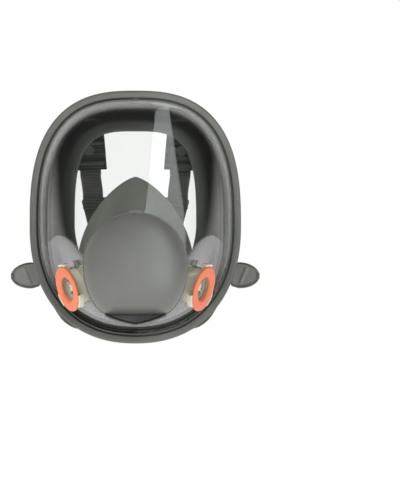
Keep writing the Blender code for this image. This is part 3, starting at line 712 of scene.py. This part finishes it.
# ---------------------------------------------------------------- seal, with its pads and tabs
def ribbon(name, path, across, width, thick, wide_at=None, rib=0.0):
    """A flat strip with thinned edges swept along a path, ribbed on both faces where rib is set."""
    rings = []
    count = len(path)
    travelled = 0.0
    for i, p in enumerate(path):
        t = unit(path[min(i + 1, count - 1)] - path[max(i - 1, 0)])
        if i:
            travelled += np.linalg.norm(path[i] - path[i - 1])
        a = np.asarray(across(p, t) if callable(across) else across, float)
        a = unit(a - t * np.dot(a, t))
        n = np.cross(t, a)
        w = (width if wide_at is None else wide_at[i]) / 2
        h = thick / 2 + rib * (0.5 + 0.5 * math.cos(TAU * travelled / RIB_PITCH)) - rib * 0.5
        edge = thick / 2 - rib * 0.5
        step, land = w - STRAP_SHOULDER, w - STRAP_LAND
        under = ((-w, -edge), (-step, -edge), (-land, -h), (land, -h), (step, -edge), (w, -edge))
        over = ((w, edge), (step, edge), (land, h), (-land, h), (-step, edge), (-w, edge))
        shape = rounded(under + over, STRAP_CORNER, 2)
        rings.append([p + a * x + n * y for x, y in shape])
    return loft(name, rings, smooth_angle=50.0)


def make_seal():
    stops = [i / 26 for i in range(27)]
    rings = []
    steps = 180
    for i in range(steps):
        phi = TAU * i / steps
        front, back = [], []
        for v in stops:
            n = grid_normal(seal_point, phi, v, (0, 1, 0))
            p = seal_point(phi, v)
            lip = SEAL_LIP * smooth(0.72, 0.97, v)
            front.append(p - n * lip)
            back.append(p + n * (SEAL_WALL - 0.8 * smooth(0.7, 1.0, v)))
        bead = [
            at_rim(phi, BAND + 0.4, FRAME_BACK - LIP - GAP + 1.0),
            at_rim(phi, BAND - 0.2, FRAME_BACK - LIP - GAP),
            at_rim(phi, WEB + GAP, FRAME_BACK - LIP - GAP),
            at_rim(phi, WEB + GAP, LENS_LEDGE + GAP),
            at_rim(phi, BAND, LENS_LEDGE + GAP),
        ]
        rings.append(front + back[:0:-1] + bead)
    seal = loft("face_seal_shell", rings, True, 60.0)
    # painted shade and light: each point's share towards the lip picks its painted shade, and the back is
    # held at no less than 0.8, so it is painted lighter
    painted_shade_share = stops + [max(0.8, v) for v in stops[:0:-1]] + [0.0] * len(bead)
    mark(seal, "painted_shade_share", painted_shade_share * steps)
    for side, _ in SIDES:
        count = 40
        widths = [PAD_WIDTH * (0.8 + 0.2 * i / count) for i in range(1, count + 1)]
        pad = ribbon("tool", pad_path(side, count)[1:], (1, 0, 0), PAD_WIDTH, PAD_THICK, widths)
        boolean(seal, pad, "UNION")
        tab = ribbon("tool", tab_path(side, 20), (0, 0, 1), TAB_WIDTH, PAD_THICK)
        boolean(seal, tab, "UNION")
    dress(seal, SEAL_BLACK, "mask", ("face_seal",))


# ---------------------------------------------------------------- nose cup
def cup_valve_frame(side):
    """Centre of a check valve in the nose cup's wall, and the wall's facing there."""
    alpha = math.radians(18 if side > 0 else 162)
    share = 0.45
    n = grid_normal(cup_point, alpha, share, (side, -0.4, 0))
    return cup_point(alpha, share) - n * CUP_WALL / 2, n


def make_nose_cup():
    stops = [i / 24 for i in range(25)]
    rings = []
    steps = 144
    for i in range(steps):
        alpha = TAU * (i + 0.5) / steps
        toward = (-math.cos(alpha), 0.3, -math.sin(alpha))
        outer = [cup_point(alpha, v) for v in stops]
        normals = [grid_normal(cup_point, alpha, v, toward) for v in stops]
        inner = [p + n * CUP_WALL for p, n in zip(outer, normals)]
        rings.append(outer + inner[::-1])
    cup = loft("nose_cup_shell", rings, True)
    for side, _ in SIDES:
        at, n = cup_valve_frame(side)
        boolean(cup, stacked("tool", ((8.0, -8), (8.0, 8)), at, n, 48), "DIFFERENCE")
    dress(cup, CUP_GREY, "mask", ("nose_cup",))


# ---------------------------------------------------------------- ports
def make_ports():
    for side, word in SIDES:
        at, axis = port_frame(side)
        u, v, w = basis_for(axis)
        back, front = -20.0, COLLAR_FRONT
        wall = ((PORT_BORE, back), (PORT_RADIUS, back), (PORT_RADIUS, front), (PORT_BORE, front))
        tube = turned(f"port_collar_{word}", rounded(wall, 0.5, 3), at, axis)
        for k in range(3):
            rings = []
            for i in range(13):
                a = math.radians(90 + 120 * k + (i - 6) * LUG_SWEEP / 6)
                out = u * math.cos(a) + v * math.sin(a)
                top = PORT_RADIUS + LUG_REACH
                shape = (
                    (PORT_RADIUS - 0.6, -5.4),
                    (top, -5.4),
                    (top, -0.4),
                    (PORT_RADIUS + GASKET_LAND + 0.5, -0.4),
                    (PORT_RADIUS + GASKET_LAND + 0.5, -2.7),
                    (PORT_RADIUS - 0.6, -2.7),
                )
                rings.append([at + out * r + w * h for r, h in rounded(shape, 0.5, 2)])
            boolean(tube, loft("tool", rings), "UNION")
        dress(tube, PORT_CLEAR_PLASTIC, "mask", (f"bayonet_port_{word}",))
        inner, outer = GASKET_BORE, PORT_RADIUS + GASKET_LAND
        ring = (
            (inner, -2.0),
            (outer, -2.0),
            (outer, -0.1),
            (outer - 1.2, 0.0),
            (inner + 2.2, 0.0),
            (inner + 0.4, -0.9),
        )
        gasket = turned(f"port_gasket_{word}", rounded(ring, 0.5, 3), at, axis)
        dress(gasket, ORANGE, "mask", (f"inhalation_gasket_{word}",))
        dress(NODES[f"inhalation_valve_seat_{word}"], SEAT_CLEAR)
        dress(NODES[f"inhalation_valve_{word}"], FLAP)
        dress(NODES[f"nose_cup_valve_seat_{word}"], AMBER)
        dress(NODES[f"nose_cup_valve_{word}"], FLAP)


# ---------------------------------------------------------------- centre
def adapter_radius(psi):
    c, s = math.cos(psi), math.sin(psi)
    edge = cover_radius(psi) + ADAPTER_RIM
    if s > -0.5:
        return edge
    # a shallow V under the mouth: its depth below the flat edge falls off to the corners
    reach = abs(c / s) * COVER_CUT / MOUTH_HALF
    drop = LIP_DROP * max(0.0, 1.0 - reach**1.25)
    return edge if reach >= 1.0 else max(edge, (COVER_CUT + drop) / -s)


def make_adapter():
    steps = 192
    rings = []
    for i in range(steps):
        psi = TAU * (i + 0.5) / steps
        c, s = math.cos(psi), math.sin(psi)
        wide = adapter_radius(psi)
        # below the cover the flange stands forward as a lip round the mouth
        past = wide - cover_radius(psi) - ADAPTER_RIM
        under = smooth(0.6, 3.5, past) if s < -0.5 else 0.0
        front = COVER_BACK_Y + GAP - LIP_FORWARD * under
        floor = COVER_BACK_Y + GAP
        profile = (
            (BARREL_BORE, -72.5),
            (BARREL_RADIUS, -72.5),
            (BARREL_RADIUS, HOLE_Y - 1.2),
            (wide, HOLE_Y - 2.2),
            (wide, front + 0.6),
            (wide - 0.7, front),
            (wide - 1.5, front + 0.1),
            (wide - 1.8, min(floor, front + 1.2)),
            (wide - 2.4, floor + 0.01),
            (BARREL_BORE + 4.0, floor),
            (BARREL_BORE + 4.0, -94.0),
            (BARREL_BORE, -93.0),
        )
        rings.append([np.array([c * r, y, CENTER_Z + s * r]) for r, y in rounded(profile, 0.7, 2)])
    adapter = loft("adapter_shell", rings, True)
    # the latch above the cover: a block with a raised bar on it
    low = (-5.5, COVER_BACK_Y - 1.6, CENTER_Z + COVER_UP - 0.9)
    high = (5.5, COVER_BACK_Y + 2.0, CENTER_Z + COVER_UP + 2.3)
    boolean(adapter, box("tool", low, high), "UNION")
    low = (-3.9, COVER_BACK_Y - 2.4, CENTER_Z + COVER_UP + 0.6)
    high = (3.9, COVER_BACK_Y - 1.0, CENTER_Z + COVER_UP + 1.4)
    boolean(adapter, box("tool", low, high), "UNION")
    dress(adapter, COVER_GREY, "mask", ("center_adapter",))
    # painted shade: the hollow inside the lip is given the near-black buckle plastic, standing in for the
    # shade that falls in it
    adapter.data.materials.append(BLACK_PLASTIC_AND_PAINTED_SHADE)
    for polygon in adapter.data.polygons:
        x, y, z = np.array(polygon.center) / MM
        psi = math.atan2(z - CENTER_Z, x)
        recessed = math.hypot(x, z - CENTER_Z) < adapter_radius(psi) - 1.7
        if recessed and math.sin(psi) < -0.5 and y < COVER_BACK_Y + 2.0:
            polygon.material_index = 1


def make_cover():
    steps = 160
    turns = [TAU * (i + 0.5) / steps for i in range(steps)]
    out = [0.02 + 0.98 * (i / 40) ** 0.75 for i in range(41)]
    rings = [[cover_point(psi, t) for psi in turns] for t in out]
    rings += [[cover_point(psi, t, COVER_WALL) for psi in turns] for t in out[::-1]]
    cover = loft("cover_shell", rings)
    low = (-SLOT_HALF - 2.0, COVER_BACK_Y - 17.5, CENTER_Z - COVER_CUT - 5.0)
    high = (SLOT_HALF + 2.0, COVER_BACK_Y + 5.0, CENTER_Z - COVER_CUT + 1.2)
    boolean(cover, box("tool", low, high), "DIFFERENCE")
    dress(cover, COVER_GREY, "cover", ("exhalation_cover",))


def make_center():
    make_adapter()
    for name in ("adapter_lock_ring", "exhalation_valve_seat"):
        dress(NODES[name], ADAPTER_GREY)
    dress(NODES["exhalation_valve"], FLAP)
    make_cover()


# ---------------------------------------------------------------- harness
def cradle_shape(share):
    """Centre and facing of the cradle at a share of its length, and its half width there."""
    p = np.array([0.0, 76.0 + 16.0 * (1.0 - (1.0 - share) ** 1.8), CRADLE_TOP - CRADLE_LENGTH * share])
    slope = 28.8 * (1.0 - share) ** 0.8
    n = unit((0.0, CRADLE_LENGTH, slope))
    # wide at the top, narrow at the waist, flared to the legs, with its corners rounded off
    top = min(1.0, max(0.0, 1.08 - share / 0.46))
    legs = max(0.0, (share - 0.62) / 0.38)
    wide = 0.80 + 0.20 * top**1.6 + 0.23 * legs**1.6
    corner = max(0.0, 1.0 - share / 0.035)
    end = max(0.0, (share - 0.97) / 0.03)
    return p, n, CRADLE_HALF * (wide - 0.07 * corner**2 - 0.09 * end**2)


def cradle_bow(x):
    return CRADLE_BOW * (x / CRADLE_HALF) ** 2


def flat_prism(name, corners, radius, y_low, y_high):
    """A rounded outline in x and z, pushed through along y."""
    ring = rounded(corners, radius, 6)
    rings = [[np.array([x, y, z]) for x, z in ring] for y in (y_low, y_high)]
    return loft(name, rings)


def make_cradle():
    rows, columns = 90, 20
    h = STRAP_THICK / 2
    rings = []
    for r in range(rows + 1):
        p, n, wide = cradle_shape(0.965 * r / rows)
        flat = wide - h
        places = [(-1 + 2 * c / columns) * flat for c in range(columns + 1)]
        section = [(x, -h) for x in places]
        section += [(flat + 0.7 * h, -0.7 * h), (wide, 0.0), (flat + 0.7 * h, 0.7 * h)]
        section += [(x, h) for x in places[::-1]]
        section += [(-flat - 0.7 * h, 0.7 * h), (-wide, 0.0), (-flat - 0.7 * h, -0.7 * h)]
        ring = []
        for x, off in section:
            ring.append(p + np.array([x, -cradle_bow(x), 0.0]) + n * off)
        rings.append(ring)
    cradle = loft("cradle_web", rings)
    # two windows: the head and its half width, the foot and its half width, corner radius, reach
    windows = ((0.042, 26.5, 0.17, 22.3, 6.5, 100), (0.31, 20.8, 0.69, 23.4, 6.0, 110))
    for head, head_half, foot, foot_half, radius, reach in windows:
        top = CRADLE_TOP - head * CRADLE_LENGTH
        low = CRADLE_TOP - foot * CRADLE_LENGTH
        corners = ((-head_half, top), (head_half, top), (foot_half, low), (-foot_half, low))
        boolean(cradle, flat_prism("tool", corners, radius, 60, reach), "DIFFERENCE")
    apex = CRADLE_TOP - 0.785 * CRADLE_LENGTH
    arch = []
    for i in range(25):
        u = -1 + 2 * i / 24
        arch.append((37.5 * u, apex - 30.0 * abs(u) ** 2.1))
    rings = [[np.array([x, y, z]) for x, z in arch] for y in (60, 110)]
    boolean(cradle, loft("tool", rings), "DIFFERENCE")
    for side in (-1, 1):
        # the strap anchors: two moulded ribs across each top corner
        for k in range(2):
            p, n, wide = cradle_shape(0.05 + 0.03 * k)
            x = wide - ANCHOR_IN
            at = p + np.array([side * x, -cradle_bow(x), 0]) + n * (h - 0.2)
            axes = (np.array([1.0, 0, 0]), unit(np.cross(n, (1, 0, 0))), n)
            boolean(cradle, box("tool", (-8.5, -0.6, -0.1), (8.5, 0.6, 0.9), at, axes), "UNION")
    dress(cradle, STRAP_BLACK, "harness", ("head_cradle",))


def leg_across(p, t):
    """A leg of the harness lies flat on the head, so its width turns as it comes round."""
    out = unit(np.array([p[0], p[1] - 15.0, 0.0]))
    return np.cross(out, t)


def on_side(side, spots):
    """Points of the right side, mirrored for the left."""
    return [np.array(s) * (side, 1, 1) for s in spots]


def paddle_half_width(share):
    """Half width of the pull tab at a share of its length: straight at first, then half an ellipse."""
    off = min(1.0, max(0.0, (share - 0.3) / 0.7))
    return PADDLE_WIDTH / 2 * math.sqrt(max(0.05, 1 - off**2)) * min(1.0, 0.86 + 0.5 * share)


def make_paddle(side, word):
    root, tip_x = PADDLE_ROOT, PADDLE_ROOT + PADDLE_LENGTH
    spots = ((root, 14.5, -54.5), (root + 8, 13.5, -54.8), (root + 17, 12.0, -55.2), (tip_x, 10.0, -55.5))
    steps = 48
    path = curve_through(on_side(side, spots), steps)
    count = 24
    rings = []
    for i, p in enumerate(path):
        share = i / steps
        t = unit(path[min(i + 1, steps)] - path[max(i - 1, 0)])
        a = unit(np.array([0, 0, 1.0]) - t * t[2])
        n = np.cross(t, a)
        n = n if n[1] < 0 else -n
        w, tip = paddle_half_width(share), PADDLE_LENGTH * (1.0 - share)
        ring = []
        for face in (1, -1):
            for j in range(count + 1):
                x = (-1 + 2 * j / count) * w * face
                edge = min(w - abs(x), tip)
                nose = PADDLE_THICK * math.sqrt(max(0.04, 1 - max(0.0, 1 - edge) ** 2))
                dish = PADDLE_DISH * smooth(1.5, 3.0, edge)
                # a slanting fold across the front face
                from_fold = (share - 0.45) * PADDLE_LENGTH - 0.35 * x
                fold = PADDLE_FOLD * math.exp(-((from_fold / 1.4) ** 2)) * smooth(2.5, 5.0, edge)
                ring.append(p + a * x + n * face * (nose - dish + (fold if face > 0 else 0.0)))
        rings.append(ring)
    paddle = loft(f"pull_tab_{word}", rings, smooth_angle=50.0)
    # the strap behind the paddle runs on into the buckle, and shows when the end is pulled out
    spots = ((root + 5, 14.0, -54.7), (root - 8, 15.0, -54.3), (root - 20, 15.6, -53.8))
    neck = curve_through(on_side(side, spots), 12)
    boolean(paddle, ribbon("tool", neck, (0, 0, 1), 18.0, 2.2), "UNION")
    # painted light and shade: the pull tab is one moulding, coloured dark on its rim and light grey on its
    # dished face for the way the light falls
    dress(paddle, TAB_RIM_PAINTED_SHADE, f"lower_strap_end_{word}_body", (f"lower_strap_end_{word}",))
    paddle.data.materials.append(TAB_FACE_PAINTED_LIGHT)
    for polygon in paddle.data.polygons:
        c = np.array(polygon.center) / MM
        share = (abs(c[0]) - root) / PADDLE_LENGTH
        edge = min(paddle_half_width(share) - abs(c[2] + 55.0), PADDLE_LENGTH * (1 - share))
        if edge > PADDLE_RIM and share > 0.0:
            polygon.material_index = 1


def make_harness():
    low = 1.6 + GAP
    flat = (1, 0, 0)
    for side, word in SIDES:
        at, _, along, n = buckle_axes(side, True)
        bar = at + along * 17.6 + n * (low + 1.2)
        spots = (
            bar + along * 1.3,
            bar + along * 8.0 + n * 3.0,
            np.array([42.0 * side, 50.0, CRADLE_TOP + 14.0]),
            np.array([41.2 * side, 60.0, CRADLE_TOP + 6.8]),
            np.array([41.0 * side, 65.6, CRADLE_TOP + 2.0]),
            np.array([41.0 * side, 67.8, CRADLE_TOP - 4.0]),
            np.array([41.0 * side, 69.1, CRADLE_TOP - 11.0]),
        )
        route = curve_through(spots, 210)
        web = ribbon(f"upper_web_{word}", route, flat, STRAP_WIDTH, STRAP_THICK, rib=RIB)
        dress(web, STRAP_BLACK, "harness", (f"upper_strap_{word}",))
        spots = (
            at + along * 10.4 + n * (low + 2.6),
            at + along * 12.0 + n * (low + 7.5),
            at + along * 18.0 + n * 15.5,
            at + along * 27.0 + n * 23.5,
        )
        route = curve_through(spots, 110)
        tail = ribbon(f"upper_tail_{word}", route, flat, STRAP_WIDTH, STRAP_THICK, rib=RIB)
        dress(tail, STRAP_BLACK, f"upper_strap_end_{word}_body", (f"upper_strap_end_{word}",))
        spots = (
            (33, 89.2, -85),
            (41.5, 88.0, -95),
            (53.5, 82.5, -99.5),
            (65, 70.0, -93),
            (74.5, 53.5, -79),
            (80.5, 40.5, -66.5),
            (83.5, 29.5, -56.5),
        )
        leg = curve_through(on_side(side, spots), 90)
        strap = ribbon(f"lower_leg_{word}", leg, leg_across, STRAP_WIDTH, STRAP_THICK)
        dress(strap, STRAP_BLACK, None, (f"lower_strap_{word}",))
        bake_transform(strap)
        make_paddle(side, word)
        for place in ("upper", "lower"):
            dress(NODES[f"{place}_stud_{word}"], BLACK_PLASTIC_AND_PAINTED_SHADE if place == "upper" else STEEL)
            dress(NODES[f"{place}_buckle_{word}"], BLACK_PLASTIC_AND_PAINTED_SHADE)
            dress(NODES[f"{place}_buckle_lever_{word}"], STEEL)
            for part in ("buckle", "buckle_lever"):
                soften(NODES[f"{place}_{part}_{word}"], 0.3)
        dress(NODES[f"frame_screw_{word}"], STEEL)
        dress(NODES[f"frame_nut_{word}"], STEEL)
    make_cradle()


def soften(made, width):
    bevel = made.modifiers.new("soft_edges", "BEVEL")
    bevel.width = width * MM
    bevel.segments = 2
    bevel.limit_method = "ANGLE"
    bevel.angle_limit = math.radians(40)
    bevel.harden_normals = False


# ---------------------------------------------------------------- studio
CAMERA_BACK = 1.8
VIEW_HEIGHT = 0.46  # metres from the picture's foot to its head, at the mask's middle
VIEW_AIM = (0.05934, -0.025, -0.03036)  # the mask stands left of and above the picture's middle
SENSOR = 36.0
FLOOR_HALF = 4000.0
FLOOR_Z = -400.0
STREAK_SIZE = (0.77, 2.89)


def area_light(name, at, aim, size, power, mirrored=False, color=(1, 1, 1)):
    data = bpy.data.lights.new(name, "AREA")
    data.shape = "RECTANGLE"
    data.size, data.size_y = size
    data.energy = power
    data.color = color
    made = bpy.data.objects.new(name, data)
    made.location = at
    made.rotation_euler = (Vector(aim) - Vector(at)).to_track_quat("-Z", "Y").to_euler()
    made.visible_glossy = mirrored
    bpy.context.scene.collection.objects.link(made)
    return made


def make_camera(scene):
    scene.view_settings.view_transform = "Standard"
    scene.view_settings.look = "None"
    data = bpy.data.cameras.new("camera")
    data.sensor_width = SENSOR
    data.sensor_height = SENSOR
    data.sensor_fit = "AUTO"
    data.lens = SENSOR * (CAMERA_BACK + VIEW_AIM[1]) / VIEW_HEIGHT
    data.clip_start = 0.05
    data.clip_end = 50
    camera = bpy.data.objects.new("camera", data)
    scene.collection.objects.link(camera)
    camera.location = (0.0, -CAMERA_BACK, 0.0)
    camera.rotation_euler = (Vector(VIEW_AIM) - camera.location).to_track_quat("-Z", "Y").to_euler()
    scene.camera = camera


def make_world(scene):
    world = bpy.data.worlds.new("studio")
    scene.world = world
    world.use_nodes = True
    tree = world.node_tree
    tree.nodes.clear()
    out = node(tree, "ShaderNodeOutputWorld")
    place = node(tree, "ShaderNodeTexCoord")
    split = node(tree, "ShaderNodeSeparateXYZ")
    tree.links.new(place.outputs["Generated"], split.inputs["Vector"])
    # what shiny walls mirror: a dark room in front, which turns white behind the object
    levels = {"From Min": 0.48, "From Max": 0.74, "To Min": 0.012, "To Max": 0.8}
    glow = node(tree, "ShaderNodeMapRange", **levels)
    tree.links.new(split.outputs["Y"], glow.inputs["Value"])
    mirrored = node(tree, "ShaderNodeBackground")
    mirrored.inputs["Color"].default_value = (1.0, 1.0, 0.95, 1)
    tree.links.new(glow.outputs["Result"], mirrored.inputs["Strength"])
    soft = node(tree, "ShaderNodeBackground", **{"Strength": 0.54})
    soft.inputs["Color"].default_value = (1, 1, 1, 1)
    white = node(tree, "ShaderNodeBackground", **{"Strength": 1.0})
    white.inputs["Color"].default_value = (1, 1, 1, 1)
    seen = node(tree, "ShaderNodeLightPath")
    inner = node(tree, "ShaderNodeMixShader")
    tree.links.new(seen.outputs["Is Glossy Ray"], inner.inputs["Fac"])
    tree.links.new(soft.outputs["Background"], inner.inputs[1])
    tree.links.new(mirrored.outputs["Background"], inner.inputs[2])
    mix = node(tree, "ShaderNodeMixShader")
    tree.links.new(seen.outputs["Is Camera Ray"], mix.inputs["Fac"])
    tree.links.new(inner.outputs["Shader"], mix.inputs[1])
    tree.links.new(white.outputs["Background"], mix.inputs[2])
    tree.links.new(mix.outputs["Shader"], out.inputs["Surface"])


def make_lights():
    area_light("key", (-1.2, -1.5, 0.8), (0, 0, 0), (1.4, 1.4), 31.0)
    area_light("fill", (1.5, -1.2, 0.1), (0, 0, 0), (0.6, 1.4), 14.0)
    area_light("top", (0, -0.2, 1.7), (0, 0, 0), (1.8, 1.2), 8.0)
    # the tall box that the visor mirrors as one slanting streak
    tall = unit((0.834, -0.208, 2.395))
    across = np.array([0.663, 0.412, -0.026])
    across = unit(across - tall * np.dot(across, tall))
    facing = np.cross(across, tall)
    place, color = (0.722, -0.765, 1.138), (0.95, 1.0, 0.98)
    streak = area_light("streak", place, (0, 0, 0), STREAK_SIZE, 20.0, True, color)
    streak.rotation_euler = Matrix((across, tall, facing)).transposed().to_euler()
    streak.visible_diffuse = False


def make_floor():
    far = FLOOR_HALF
    corners = [(x, y, FLOOR_Z) for x, y in ((-far, -far), (far, -far), (far, far), (-far, far))]
    floor = mesh_object("floor", corners, [(0, 1, 2, 3)])
    pale = moulded("floor_pale", (0.93, 0.93, 0.93), 0.9, vary=0.01, bump=0.0, spec=0.1)
    shader = pale.node_tree.nodes["Principled BSDF"]
    shader.inputs["Emission Color"].default_value = (1, 1, 1, 1)
    shader.inputs["Emission Strength"].default_value = 0.5
    floor.data.materials.append(pale)


def make_studio():
    scene = bpy.context.scene
    make_camera(scene)
    make_world(scene)
    make_lights()
    make_floor()


make_frame()
make_lens()
make_seal()
make_nose_cup()
make_ports()
make_center()
make_harness()
make_studio()
